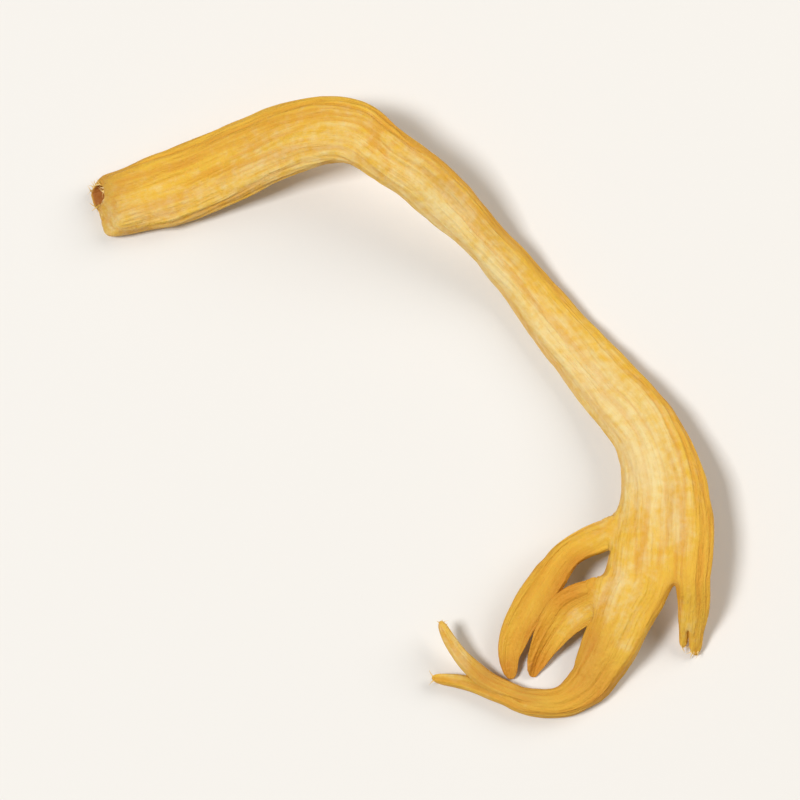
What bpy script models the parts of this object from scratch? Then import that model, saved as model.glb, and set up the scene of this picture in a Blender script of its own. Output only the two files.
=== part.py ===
"""One dried cordyceps fruiting body, lying on a flat surface.

It is a flattened, furrowed stalk that arches from a torn foot to a broad palm. The palm splits into
a short prong and a broad lobe that thins to a curled, two-pointed tail, and two slender lobes grow
from its inner side. The foot, the low middle of the stalk, the bend of the tail and the prong's point
touch the surface, z = 0. The origin is under the middle of the whole thing.
"""

import math
from collections import namedtuple

import bmesh
import bpy
import numpy as np
from mathutils import Matrix, Vector

MM = 0.001

# Sizes in millimetres
FORK_GAP = 0.3
RING_SPACING = 1.0
PIT_DEPTH = 0.9
PIT_MOUTH, PIT_FLOOR = 0.62, 0.4  # shares of the foot's section
TORN_REACH = 0.45  # how far the foot's torn rim wanders along the stalk
LOBE_ROOT_DEPTH = 1.2  # how far a side lobe's root is started inside what it grows from

FLATNESS = 0.32  # how much fuller than an ellipse a section is beside its middle

# A lengthwise furrow: where it lies across the section, its depth, its width and how far it swings to
# each side, as shares of half the width or thickness, then the length of a swing and where it starts.
Furrow = namedtuple("Furrow", "across depth width swing wave start")
FURROWS_ABOVE = [
    Furrow(0.0, 0.36, 0.20, 0.24, 27.0, 0.0),
    Furrow(-0.62, 0.24, 0.15, 0.12, 19.0, 6.0),
    Furrow(0.62, 0.20, 0.15, 0.14, 33.0, 12.0),
]
FURROWS_BELOW = [
    Furrow(0.0, 0.50, 0.40, 0.30, 27.0, 13.5),
]

STALK_SIDES = 36
LOBE_SIDES = 16
TIP_SIDES = 10
TIP_RINGS = 3
TIP_TURN = math.radians(75)  # how far round a point's dome the last ring lies

# A section through a body: its centre, its width and thickness in millimetres, and its roll about
# the way it heads, in degrees. A positive roll lowers the edge on the right of that way.
Station = namedtuple("Station", "x y z width thick roll")

# A swept body. Its first and last sections face first_way and last_way, or the way that it heads.
Body = namedtuple(
    "Body",
    "name stations sides relief first_way last_way start end",
    defaults=(None, None, "cut", "cut"),
)

STALK = [
    Station(-18.5, 13.3, 0.90, 4.1, 2.2, 0),
    Station(-15.5, 14.2, 0.92, 4.8, 2.2, 0),
    Station(-11.9, 15.4, 1.50, 4.9, 2.0, -4),
    Station(-8.6, 16.6, 2.70, 4.8, 1.9, -6),
    Station(-5.4, 17.3, 3.85, 4.7, 1.9, -6),
    Station(-2.8, 17.0, 4.55, 4.3, 2.0, -2),
    Station(-0.6, 15.4, 4.60, 3.6, 2.1, 8),
    Station(1.85, 13.85, 3.90, 3.5, 2.0, 14),
    Station(4.65, 11.3, 2.60, 2.9, 1.9, 12),
    Station(7.4, 8.5, 1.25, 3.0, 1.8, 6),
    Station(10.0, 5.4, 0.72, 3.3, 1.8, 2),
    Station(12.5, 2.1, 1.10, 4.0, 1.8, 4),
    Station(15.15, -1.2, 1.90, 4.4, 1.8, 8),
    Station(16.2, -4.8, 2.50, 5.2, 1.8, 8),
    Station(16.25, -8.2, 2.80, 6.0, 1.9, 6),
    Station(15.65, -11.4, 2.80, 6.8, 1.9, 4),
]
FORK_Y = STALK[-1].y
MIDDLE = Vector((-0.03, 0.17, 0))  # of the footprint, on the stations' own axes
DOWN_PALM = Vector((0, -1, 0))
CUTTER_OVERLAP = 1.0

RIGHT_PRONG = [
    Station(18.0, FORK_Y - FORK_GAP, 2.70, 2.2, 1.5, 6),
    Station(18.05, -12.8, 2.05, 1.9, 1.4, 6),
    Station(17.9, -14.0, 1.25, 1.5, 1.1, 2),
    Station(17.85, -14.9, 0.46, 1.0, 0.95, 0),
]
BROAD_LOBE = [
    Station(14.35, FORK_Y - FORK_GAP, 2.80, 4.2, 1.8, 4),
    Station(13.5, -13.5, 2.35, 3.6, 1.7, 4),
    Station(12.6, -15.6, 1.50, 3.2, 1.6, 2),
    Station(11.35, -17.5, 0.72, 2.4, 1.5, 0),
    Station(9.6, -18.5, 0.58, 1.6, 1.3, 0),
    Station(7.3, -18.2, 0.55, 1.3, 1.2, 0),
    Station(5.1, -17.0, 0.70, 1.1, 1.0, 0),
    Station(3.6, -15.6, 1.20, 0.9, 0.9, 0),
    Station(2.6, -14.0, 1.90, 0.6, 0.6, 0),
]
TAIL_POINT = [
    Station(6.6, -17.9, 0.60, 0.8, 0.8, 0),
    Station(5.4, -17.6, 0.60, 0.9, 0.8, 0),
    Station(3.9, -17.2, 0.60, 0.8, 0.7, 0),
    Station(2.3, -16.9, 0.70, 0.5, 0.5, 0),
]
UPPER_SIDE_LOBE = [
    Station(13.2 + LOBE_ROOT_DEPTH, -8.2, 2.60, 2.2, 1.4, 0),
    Station(10.55, -9.55, 2.45, 2.1, 1.3, -4),
    Station(8.55, -11.6, 1.90, 2.1, 1.3, -8),
    Station(7.4, -13.5, 1.30, 1.9, 1.2, -6),
    Station(6.75, -15.1, 0.75, 1.55, 1.1, 0),
    Station(6.75, -16.1, 0.47, 1.1, 0.9, 0),
]
INNER_SIDE_LOBE = [
    Station(12.1 + LOBE_ROOT_DEPTH, -12.2, 2.40, 2.3, 1.3, 0),
    Station(10.45, -13.3, 1.95, 2.1, 1.2, 0),
    Station(9.4, -14.65, 1.35, 1.8, 1.15, 0),
    Station(8.6, -15.65, 0.80, 1.4, 1.0, 0),
    Station(8.35, -16.15, 0.50, 1.0, 0.9, 0),
]

# Linear colour and roughness of each piece
GOLD = (0.80, 0.455, 0.075)
PALE_GOLD = (0.83, 0.55, 0.15)
AMBER = (0.68, 0.34, 0.045)
ROUGHNESS = 0.62


def clear_scene():
    for obj in list(bpy.data.objects):
        bpy.data.objects.remove(obj)


def collection(name):
    made = bpy.data.collections.new(name)
    bpy.context.scene.collection.children.link(made)
    return made


def skin_material(name, colour):
    """A matt, waxy skin in one of the fruiting body's colours."""
    made = bpy.data.materials.new(name)
    made.use_nodes = True
    shader = made.node_tree.nodes["Principled BSDF"]
    shader.inputs["Base Color"].default_value = (*colour, 1)
    shader.inputs["Roughness"].default_value = ROUGHNESS
    shader.inputs["Metallic"].default_value = 0
    return made


def smooth_run(stations):
    """Stations about RING_SPACING apart, on a Catmull-Rom curve through the given ones."""
    rows = np.array(stations, float)
    padded = np.vstack([2 * rows[0] - rows[1], rows, 2 * rows[-1] - rows[-2]])
    made = []
    for a, b, c, d in zip(padded, padded[1:], padded[2:], padded[3:]):
        count = max(2, round(np.linalg.norm(c[:3] - b[:3]) / RING_SPACING))
        for t in np.arange(count) / count:
            bend = (2 * a - 5 * b + 4 * c - d) * t**2 + (3 * b - a - 3 * c + d) * t**3
            made.append(0.5 * (2 * b + (c - a) * t + bend))
    made.append(rows[-1])
    return [Station(*row) for row in made]


def headings(run, first, last):
    """The way the body heads at each station. A given first or last heading is kept."""
    points = [Vector((s.x, s.y, s.z)) for s in run]
    made = [
        (points[min(k + 1, len(run) - 1)] - points[max(k - 1, 0)]).normalized()
        for k in range(len(run))
    ]
    made[0] = first or made[0]
    made[-1] = last or made[-1]
    return made


def frame_at(station, heading):
    """A matrix whose X runs across the section, to the right, whose Y rises and whose Z heads back."""
    right = heading.cross(Vector((0, 0, 1))).normalized()
    right.rotate(Matrix.Rotation(math.radians(station.roll), 3, heading))
    rise = right.cross(heading)
    turn = Matrix((right, rise, -heading)).transposed()
    return Matrix.Translation((station.x, station.y, station.z)) @ turn.to_4x4()


def bell(offset, width):
    return math.exp(-((offset / width) ** 2))


def section_point(angle, station, travelled, relief):
    """A point of the flattened section, across and up from its centre.

    Relief, from 0 to 1, is how fully the furrows above and the hollow below are formed.
    """
    across, up = math.cos(angle), math.sin(angle)
    sunk = 0.0
    for furrow in FURROWS_ABOVE if up > 0 else FURROWS_BELOW:
        swing = math.sin(2 * math.pi * (travelled - furrow.start) / furrow.wave)
        offset = across - furrow.across - furrow.swing * swing
        sunk += relief * furrow.depth * bell(offset, furrow.width)
    up *= (1 + FLATNESS * across * across) * (1 - sunk)
    return across * station.width / 2, up * station.thick / 2


def add_ring(bm, body, station, heading, travelled, share=1.0, back=0.0, torn=0.0):
    """One closed section, as a share of the station's, moved back along the heading. Returns its edges."""
    frame = frame_at(station, heading)
    verts = bmesh.ops.create_circle(bm, segments=body.sides, radius=1)["verts"]
    for number, vert in enumerate(verts):
        angle = 2 * math.pi * number / body.sides
        across, up = section_point(angle, station, travelled, body.relief)
        rag = torn * (math.sin(3 * angle + 0.8) + 0.5 * math.sin(7 * angle))
        place = frame @ Vector((across * share, up * share, back + rag))
        vert.co = (place.x, place.y, max(place.z, 0))
    return list({edge for vert in verts for edge in vert.link_edges})


def loft(body, where):
    """The body swept through its stations. Its origin is at the middle of its first section."""
    run = smooth_run(body.stations)
    ways = headings(run, body.first_way, body.last_way)
    travelled = [0.0]
    for near, far in zip(run, run[1:]):
        travelled.append(travelled[-1] + math.dist(near[:3], far[:3]))
    bm = bmesh.new()
    rings = []
    if body.start == "torn":
        rings.append(add_ring(bm, body, run[0], ways[0], 0, PIT_FLOOR, -PIT_DEPTH))
        rings.append(add_ring(bm, body, run[0], ways[0], 0, PIT_MOUTH, torn=TORN_REACH / 2))
        rings.append(add_ring(bm, body, run[0], ways[0], 0, torn=TORN_REACH))
        first_plain = 1
    else:
        first_plain = 0
    for station, way, so_far in list(zip(run, ways, travelled))[first_plain:]:
        rings.append(add_ring(bm, body, station, way, so_far))
    if body.end == "pointed":
        for step in range(1, TIP_RINGS + 1):
            turn = TIP_TURN * step / TIP_RINGS
            ahead = run[-1].width / 2 * math.sin(turn)
            rings.append(add_ring(bm, body, run[-1], ways[-1], travelled[-1], math.cos(turn), -ahead))
    for near, far in zip(rings, rings[1:]):
        bmesh.ops.bridge_loops(bm, edges=near + far)
    for rim in (rings[0], rings[-1]):
        bmesh.ops.contextual_create(bm, geom=rim)
    root = Vector(run[0][:3])
    bmesh.ops.translate(bm, verts=bm.verts, vec=-root)
    bmesh.ops.recalc_face_normals(bm, faces=bm.faces)
    mesh = bpy.data.meshes.new(body.name)
    bm.to_mesh(mesh)
    bm.free()
    mesh.transform(Matrix.Scale(MM, 4))
    mesh.shade_smooth()
    made = bpy.data.objects.new(body.name, mesh)
    made.location = (root - MIDDLE) * MM
    where.objects.link(made)
    return made


def as_cutter(obj):
    obj.hide_render = True
    obj.display_type = "WIRE"
    return obj


def clearance(name, stations, where, first_way=None, last_way=None):
    """A plain body larger than the one through the stations by the fork's gap, to cut a lobe's root."""
    grown = [s._replace(width=s.width + 2 * FORK_GAP, thick=s.thick + 2 * FORK_GAP) for s in stations]
    return as_cutter(loft(Body(name, grown, LOBE_SIDES, 0, first_way, last_way), where))


def combine(obj, other, operation):
    step = obj.modifiers.new(f"{operation.lower()} {other.name}", "BOOLEAN")
    step.operation = operation
    step.object = other


def paint(obj, colour):
    obj.data.materials.append(skin_material(f"{obj.name} skin", colour))


def build():
    clear_scene()
    parts = collection("dried_cordyceps")
    cutters = collection("cutters")
    root = bpy.data.objects.new("fruiting_body", None)
    parts.objects.link(root)

    stalk = loft(Body("stalk", STALK, STALK_SIDES, 1, None, DOWN_PALM, "torn"), parts)
    prong = loft(Body("right_prong", RIGHT_PRONG, LOBE_SIDES, 1, DOWN_PALM, None, end="pointed"), parts)
    broad = loft(Body("broad_lobe", BROAD_LOBE, LOBE_SIDES, 1, DOWN_PALM, None, end="pointed"), parts)
    point = loft(Body("tail_point", TAIL_POINT, TIP_SIDES, 0, end="pointed"), cutters)
    combine(broad, as_cutter(point), "UNION")

    upper = loft(Body("upper_side_lobe", UPPER_SIDE_LOBE, LOBE_SIDES, 1, end="pointed"), parts)
    inner = loft(Body("inner_side_lobe", INNER_SIDE_LOBE, LOBE_SIDES, 1, end="pointed"), parts)
    palm_room = clearance("palm_clearance", STALK[-4:], cutters, last_way=DOWN_PALM)
    overlapping = BROAD_LOBE[0]._replace(y=FORK_Y + CUTTER_OVERLAP)
    lobe_room = clearance(
        "broad_lobe_clearance", [overlapping, *BROAD_LOBE[1:4]], cutters, first_way=DOWN_PALM
    )
    for lobe in (upper, inner):
        combine(lobe, palm_room, "DIFFERENCE")
        combine(lobe, lobe_room, "DIFFERENCE")

    paint(stalk, GOLD)
    paint(prong, AMBER)
    paint(broad, PALE_GOLD)
    paint(upper, GOLD)
    paint(inner, AMBER)
    for piece in (stalk, prong, broad, upper, inner):
        piece.parent = root


build()
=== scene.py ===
"""The looks of one dried cordyceps fruiting body, lying on a plain pale floor.

The fruiting body is one skin. A box at the torn foot is extruded from section to section along the
stalk, then each lobe is extruded from the faces that it grows out of. The skin is subdivided, and
wrinkled along its own grain, which every corner of the box carries with it as it is extruded.
"""

import math
import random
from collections import namedtuple

import bmesh
import bpy
from mathutils import Matrix, Quaternion, Vector


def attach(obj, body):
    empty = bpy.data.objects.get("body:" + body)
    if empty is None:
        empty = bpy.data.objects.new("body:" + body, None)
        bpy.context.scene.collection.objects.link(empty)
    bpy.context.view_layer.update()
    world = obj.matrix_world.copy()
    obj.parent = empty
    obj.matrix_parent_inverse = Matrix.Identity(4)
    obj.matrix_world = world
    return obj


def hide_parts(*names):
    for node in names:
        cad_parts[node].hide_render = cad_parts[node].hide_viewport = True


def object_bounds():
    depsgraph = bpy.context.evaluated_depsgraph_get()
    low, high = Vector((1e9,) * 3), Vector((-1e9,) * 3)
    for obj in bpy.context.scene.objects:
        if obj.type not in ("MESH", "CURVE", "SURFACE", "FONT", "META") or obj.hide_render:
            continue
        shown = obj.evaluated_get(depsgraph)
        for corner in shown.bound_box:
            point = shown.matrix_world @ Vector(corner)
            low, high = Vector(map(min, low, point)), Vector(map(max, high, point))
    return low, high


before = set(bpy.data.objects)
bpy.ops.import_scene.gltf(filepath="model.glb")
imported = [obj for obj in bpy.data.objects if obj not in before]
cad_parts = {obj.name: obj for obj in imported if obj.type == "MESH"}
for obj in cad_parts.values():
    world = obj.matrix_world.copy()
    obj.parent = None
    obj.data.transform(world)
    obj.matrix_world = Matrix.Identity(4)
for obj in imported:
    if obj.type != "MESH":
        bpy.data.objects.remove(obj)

cad_low, cad_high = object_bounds()

MM = 0.001
UP = Vector((0, 0, 1))
AHEAD = Vector((0, 1, 0))  # on a section's own axes
ON_PLANE = 0.01 * MM  # a face or corner this near to a section's plane is in it
FLAT = 0.0001 * MM  # a section no deeper than this is flat already

# A section through the body, in millimetres: its centre, its width and thickness, and its roll about
# the way it heads, in degrees. A positive roll lowers the edge on the right of that way.
Station = namedtuple("Station", "x y z width thick roll")

STALK = [
    Station(-18.5, 13.3, 0.90, 4.1, 2.2, 0),
    Station(-15.5, 14.2, 0.92, 4.8, 2.2, 0),
    Station(-11.9, 15.4, 1.50, 4.9, 2.0, -4),
    Station(-8.6, 16.6, 2.70, 4.8, 1.9, -6),
    Station(-5.4, 17.3, 3.85, 4.7, 1.9, -6),
    Station(-2.8, 17.0, 4.55, 4.3, 2.0, -2),
    Station(-0.6, 15.4, 4.60, 3.6, 2.1, 8),
    Station(1.85, 13.85, 3.90, 3.5, 2.0, 14),
    Station(4.65, 11.3, 2.60, 2.9, 1.9, 12),
    Station(7.4, 8.5, 1.25, 3.0, 1.8, 6),
    Station(10.0, 5.4, 0.72, 3.3, 1.8, 2),
    Station(12.5, 2.1, 1.10, 4.0, 1.8, 4),
    Station(15.15, -1.2, 1.90, 4.35, 1.8, 8),
    Station(16.2, -4.8, 2.50, 5.1, 1.8, 8),
    Station(16.2, -8.2, 2.80, 5.9, 1.9, 6),
    Station(15.6, -11.4, 2.80, 6.7, 1.9, 4),
]
RIGHT_PRONG = [
    Station(18.0, -12.8, 2.05, 1.9, 1.4, 6),
    Station(17.85, -13.9, 1.30, 1.45, 1.1, 2),
]
OUTER_POINT = [Station(18.1, -15.0, 0.55, 0.75, 0.7, 0)]
INNER_POINT = [Station(17.35, -14.7, 0.7, 0.5, 0.55, 0)]
BROAD_LOBE = [
    Station(13.5, -13.45, 2.35, 3.5, 1.7, 4),
    Station(12.6, -15.5, 1.50, 3.15, 1.6, 2),
    Station(11.35, -17.45, 0.72, 2.4, 1.5, 0),
    Station(9.6, -18.5, 0.58, 1.7, 1.3, 0),
    Station(7.3, -18.25, 0.55, 1.5, 1.2, 0),
]
TAIL = [
    Station(5.1, -17.0, 0.70, 1.1, 1.0, 0),
    Station(3.6, -15.6, 1.20, 0.9, 0.9, 0),
    Station(2.6, -14.0, 1.90, 0.6, 0.6, 0),
]
TAIL_POINT = [
    Station(5.4, -17.7, 0.60, 0.9, 0.8, 0),
    Station(3.9, -17.2, 0.60, 0.8, 0.7, 0),
    Station(2.3, -16.9, 0.70, 0.5, 0.5, 0),
]
UPPER_SIDE_LOBE = [
    Station(10.35, -9.4, 2.45, 1.7, 1.3, -4),
    Station(8.6, -11.6, 1.90, 2.3, 1.3, -8),
    Station(7.4, -13.5, 1.30, 2.05, 1.2, -6),
    Station(6.75, -15.1, 0.75, 1.65, 1.1, 0),
    Station(6.75, -16.1, 0.45, 1.1, 0.85, 0),
]
INNER_SIDE_LOBE = [
    Station(10.35, -12.95, 1.95, 2.75, 1.2, 0),
    Station(9.2, -14.5, 1.35, 2.05, 1.15, 0),
    Station(8.55, -15.65, 0.80, 1.45, 1.0, 0),
    Station(8.35, -16.15, 0.5, 1.0, 0.8, 0),
]
MIDDLE = Vector((-0.03, 0.17, 0))  # of the footprint, on the stations' own axes
DOWN_PALM = Vector((0, -1, 0))

# How the palm forks
PRONG_COLUMNS = 3  # of the palm's columns. The broad lobe grows out of the others.
PRONG_SPLIT, TAIL_SPLIT = 0.3, -0.2  # where they part in two, from -1 at the left edge to 1
FORK_SHIFT = {2: 0.04, 1: 0.075}  # how far it moves out in the palm's last sections, counted back
UPPER_ROOT = Vector((13.2, -8.3, 2.6))  # where the side lobes leave the inner edge
UPPER_WAY, UPPER_REACH = Vector((-1, -0.12, 0)), 1.1  # which way, and how far the root spreads
INNER_ROOT = Vector((12.1, -12.4, 2.4))
INNER_WAY, INNER_REACH = Vector((-1, -0.1, 0)), 1.2
ROOT_DEPTH = 1.6  # how far the root's faces may lie in or out of the edge
ROOT_FACING = 0.8  # how squarely they look out of it, as a cosine
SHOULDERS = [(11.4, -11.3, 0.9), (15.9, -12.8, 0.9), (13.0, -9.6, 0.8)]  # rounded off: x, y and reach

# The box at the foot, and how the skin is extruded from it
COLUMNS, ROWS = 8, 2
COLUMN_SHARES = (0.34, 0.84, 1.0, 0.94, 0.84, 0.94, 1.01, 0.9, 0.38)  # of the thickness
WIDTH_GAIN, THICK_GAIN = 1.03, 1.12  # what the subdivision takes off again
STALK_SPACING, LOBE_SPACING = 1.36, 0.95
TIP_STEPS = ((0.4, 0.66), (0.3, 0.3))  # how far ahead and how wide, as shares of the last width
ROOT_STEP = 0.45  # the first, short step of a lobe, which keeps its crotch tight
LOBE_FOLD = 0.3  # how deep the groove along a side lobe is, as a share of the thickness
FOLD_REACH = 0.3  # how far it reaches to each side, as a share of the width
GRAIN_SPREAD = 0.6  # how far the grain's spacing follows a section's width
SKIN_LEVELS = 3  # of subdivision

# The torn foot
END_ROUND, END_BULGE = 0.35, 0.25  # how wide its rounded rim is, and how far its end stands out
LIP_WIDTH, LIP_RISE, LIP_RAG = 0.3, 0.3, 0.1
LIP_WAVES = ((1.0, 2, 0.8), (0.6, 5, 0.0), (0.4, 7, 2.0))  # height, count and start of each
PIT_SIDE = -0.1  # the hollow opens on the left of this, measured from the middle
PIT_STEPS = ((0.45, 0.92), (1.0, 0.75))  # how deep each step goes in, and how it narrows
PIT_LIFT = 0.5  # no lower than this, so that the rim stays thick on the surface
TORN_LIP, TORN_PIT = 0.5, 1.0  # how the lips and the hollow are marked
FOOT_SLANT = 0.5  # how far the rim lies back, for each millimetre up

# Torn fibres, at the lips and at the frayed tips
SEED = 5
FOOT_FIBRES, OUTER_FIBRES, INNER_FIBRES, TAIL_FIBRES = 22, 6, 5, 4
LIP_MARKS = (0.3, 0.6)  # between which the subdivided skin counts as a lip
FRAY_REACH = 0.5  # how near to a lobe's tip its fibres stand
FIBRE_ROOT = 0.05  # how deep
FIBRE_LOWEST = 0.42  # no fibre stands nearer to the surface that the body lies on
FIBRE_SIDES, FIBRE_RINGS = 5, 5
FIBRE_THICK, FIBRE_THIN = 0.055, 0.012  # its radius at its root and at its point
FIBRE_BEND = 0.35  # how far its point is bent over
FIBRE_SHORTEST, FIBRE_LONGEST = 0.15, 0.4
OUT_OF_FOOT = Vector((-1, 0, 0.3))
FIBRE_SPREAD, FIBRE_STRAY = 0.5, 0.4  # how far fibres lean off the skin and astray

# The wrinkles. Noise is drawn out along the grain: waves a millimetre along it and across it, and
# where it starts. Furrows have a width on the noise's scale, a depth in millimetres and a darkness,
# which is shade painted into them.
Furrows = namedtuple("Furrows", "along across start width depth dark")

LUMPS = (0.16, 0.3, 3.1)
RIBS = (0.06, 0.9, 7.7)
SWELL = 0.5  # how high the lumps and ribs stand
MAIN_FURROWS = Furrows(0.06, 0.9, 11.3, 0.12, 0.08, 0.5)
FINE_FURROWS = Furrows(0.2, 2.7, 5.9, 0.17, 0.06, 0.4)
FINEST_FURROWS = Furrows(0.45, 5.6, 8.3, 0.2, 0.025, 0.25)
BEND_CREASES = Furrows(0.6, 0.4, 2.3, 0.08, 0.1, 0.7)
SWAY = (0.42, 0.42, 0.2)  # how far the skin strays about its sections, from side to side
SWAY_WAVES = 300  # a metre
FOOT_CALM = 2.5  # how far from the rim the wrinkles reach their full depth, in millimetres
RIM_WRINKLES, TORN_WRINKLES = 0.3, 0.2  # how much of their depth is left there
SIDE_FACING, TOP_FACING = -0.1, 0.75  # how far up the normal points on a flank and on top

# Soft spots on the skin: x, y and radius in millimetres, and how strong it is in the middle. Pale
# spots turn the skin creamy, partly its own paler tone and partly painted highlight, and dark ones
# take that away, partly as painted shade.
PALE_AND_HIGHLIGHT_SPOTS = [
    (-18.2, 12.9, 1.4, 0.25),
    (-15.5, 13.9, 2.2, 0.15),
    (-8.6, 16.3, 2.6, 0.2),
    (-3.4, 17.3, 2.4, 0.35),
    (0.6, 14.4, 1.8, 0.4),
    (3.5, 11.9, 2.0, 0.65),
    (6.2, 8.7, 1.9, 0.6),
    (9.2, 5.4, 2.0, 0.45),
    (12.4, 2.4, 2.4, 0.6),
    (15.3, -1.1, 2.7, 0.55),
    (16.6, -4.8, 2.7, 0.4),
    (14.7, -4.6, 1.3, 0.3),
    (16.2, -7.9, 2.6, 0.25),
    (17.4, -8.2, 1.1, 0.3),
    (13.1, -11.9, 1.3, 0.3),
    (11.0, -13.5, 0.6, 0.5),
    (10.0, -14.5, 0.6, 0.5),
    (9.2, -15.2, 0.5, 0.3),
    (18.0, -14.6, 1.0, 0.3),
    (5.4, -18.3, 0.6, 0.3),
    (7.5, -18.8, 0.6, 0.25),
    (17.9, -13.0, 1.2, 0.2),
    (13.7, -15.9, 1.2, 0.35),
    (3.9, -17.5, 0.9, 0.2),
    (3.4, -15.8, 0.7, 0.3),
]
DARK_AND_SHADE_SPOTS = [
    (5.6, 12.3, 0.7, 0.3),
    (8.4, 9.5, 1.0, 0.2),
    (15.2, -12.4, 1.3, 0.2),
    (-13.0, 15.0, 2.5, 0.1),
    (14.0, -8.6, 1.2, 0.3),
    (11.0, -10.2, 1.6, 0.4),
    (9.2, -11.3, 1.8, 0.5),
    (10.7, -12.1, 0.9, 0.6),
    (7.2, -14.4, 2.0, 0.4),
    (8.8, -14.6, 1.4, 0.6),
    (11.6, -15.2, 1.2, 0.7),
    (12.3, -17.4, 2.0, 0.55),
    (9.5, -18.0, 1.4, 0.6),
    (7.1, -18.0, 1.3, 0.35),
    (5.2, -17.0, 1.1, 0.5),
]
# Painted reddish-brown shade, mostly between the lobes, and also in the crest's fold and at the side
# lobes' tips
REDDISH_SHADE_SPOTS = [
    (-3.6, 17.8, 0.45, 0.4),
    (0.3, 16.5, 0.9, 0.35),
    (11.1, -10.3, 1.1, 0.85),
    (9.2, -12.2, 0.9, 0.45),
    (10.3, -12.3, 1.1, 0.65),
    (8.5, -14.0, 0.8, 0.55),
    (6.2, -14.2, 0.8, 0.25),
    (6.4, -16.4, 1.0, 0.75),
    (8.4, -16.2, 1.2, 0.95),
    (9.6, -17.8, 0.8, 0.25),
    (12.2, -17.6, 1.4, 0.3),
    (10.9, -17.0, 1.0, 0.25),
]
# Painted shade, darker and duller, at the foot and where the broad lobe curls
DULL_SHADE_SPOTS = [
    (-18.8, 14.3, 1.5, 0.6),
    (-18.7, 12.6, 1.2, 0.2),
    (11.4, -15.1, 1.0, 0.45),
    (8.6, -18.0, 1.3, 0.45),
    (7.3, -17.9, 1.1, 0.4),
    (7.6, -17.5, 0.7, 0.35),
    (4.6, -16.6, 1.2, 0.2),
    (5.3, -17.0, 1.1, 0.8),
    (11.4, -17.3, 1.6, 0.35),
]
# Sharp bends, which crease the skin across its grain
BENT_SPOTS = [
    (-0.8, 16.0, 2.2, 0.9),
    (12.0, -17.6, 2.2, 0.5),
]


def in_metres(stations):
    """The stations in the row frame, in metres."""
    return [
        Station(
            (s.x - MIDDLE.x) * MM, (s.y - MIDDLE.y) * MM, s.z * MM, s.width * MM, s.thick * MM, s.roll
        )
        for s in stations
    ]


def curve_value(a, b, c, d, t):
    """Where a Catmull-Rom curve through four values is between b, at t = 0, and c, at t = 1."""
    return 0.5 * (
        2 * b + (c - a) * t + (2 * a - 5 * b + 4 * c - d) * t**2 + (3 * b - a - 3 * c + d) * t**3
    )


def smooth_run(stations, spacing):
    """Stations about the spacing apart, on a smooth curve through the given ones."""
    before = [2 * a - b for a, b in zip(stations[0], stations[1])]
    after = [2 * a - b for a, b in zip(stations[-1], stations[-2])]
    rows = [before, *stations, after]
    made = []
    for four in zip(rows, rows[1:], rows[2:], rows[3:]):
        count = max(1, round(math.dist(four[1][:3], four[2][:3]) / (spacing * MM)))
        for step in range(count):
            made.append(Station(*(curve_value(*values, step / count) for values in zip(*four))))
    made.append(stations[-1])
    return made


def place_at(point, ahead, roll=0):
    """A matrix at the point: X runs across to the right, Y ahead and Z up out of the section."""
    ahead = ahead.normalized()
    right = ahead.cross(UP).normalized()
    right.rotate(Quaternion(ahead, math.radians(roll)))
    turn = Matrix((right, ahead, right.cross(ahead))).transposed()
    return Matrix.Translation(point) @ turn.to_4x4()


def places_along(run, first=None, last=None):
    """A place at each station, heading along the run, or as given at its ends."""
    points = [Vector(s[:3]) for s in run]
    made = []
    for number, station in enumerate(run):
        ahead = points[min(number + 1, len(run) - 1)] - points[max(number - 1, 0)]
        if number == 0 and first:
            ahead = first
        if number == len(run) - 1 and last:
            ahead = last
        made.append(place_at(points[number], ahead, station.roll))
    return made


def edited():
    """The mesh that is being edited."""
    return bmesh.from_edit_mesh(bpy.context.edit_object.data)


def chosen_verts():
    """Its selected corners."""
    return [vert for vert in edited().verts if vert.select]


def choose(test, kind="faces"):
    """Selects those faces, edges or corners of the edited mesh that pass the test, and nothing else."""
    modes = {"faces": "FACE", "edges": "EDGE", "verts": "VERT"}
    bpy.ops.mesh.select_mode(type=modes[kind])
    bpy.ops.mesh.select_all(action="DESELECT")
    mesh = edited()
    for item in [item for item in getattr(mesh, kind) if test(item)]:
        item.select_set(True)
    mesh.select_flush_mode()
    bmesh.update_edit_mesh(bpy.context.edit_object.data)


def turn_chosen(here, there):
    """Turns what is selected from one place's axes to the next one's, about the next place."""
    turn = there.to_quaternion() @ here.to_quaternion().inverted()
    for axis, angle in zip("XYZ", turn.to_euler("XYZ")):
        # With no window the operator turns the other way
        bpy.ops.transform.rotate(
            value=-angle, orient_axis=axis, orient_type="GLOBAL", center_override=there.translation
        )


def size_chosen(place, across, ahead, rise):
    """Scales what is selected about the place, along its own axes."""
    bpy.ops.transform.resize(
        value=(across, ahead, rise),
        orient_type="LOCAL",
        orient_matrix=place.to_3x3(),
        orient_matrix_type="LOCAL",
        center_override=place.translation,
    )


def chosen_span(place):
    """Middle and size of what is selected, along the place's axes."""
    back = place.inverted()
    points = [back @ vert.co for vert in chosen_verts()]
    low = Vector(min(p[axis] for p in points) for axis in range(3))
    high = Vector(max(p[axis] for p in points) for axis in range(3))
    return (low + high) / 2, high - low


def carry_grain(step, across_share, rise_share, sideways=False):
    """Moves the grain of what is selected on along the body, and spreads it with the section."""
    mesh = edited()
    grain = mesh.verts.layers.float_vector["grain"]
    girth = mesh.verts.layers.float["girth"]
    chosen = [vert for vert in mesh.verts if vert.select]
    middle = sum((vert[grain] for vert in chosen), Vector()) / len(chosen)
    for vert in chosen:
        off = vert[grain] - middle
        across = off.x if sideways else off.y
        vert[grain] = Vector(
            (
                middle.x + step / MM,
                middle.y + across * across_share**GRAIN_SPREAD,
                middle.z + off.z * rise_share**GRAIN_SPREAD,
            )
        )
        vert[girth] = min(1.0, vert[girth] * rise_share)
    bmesh.update_edit_mesh(bpy.context.edit_object.data)


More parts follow.
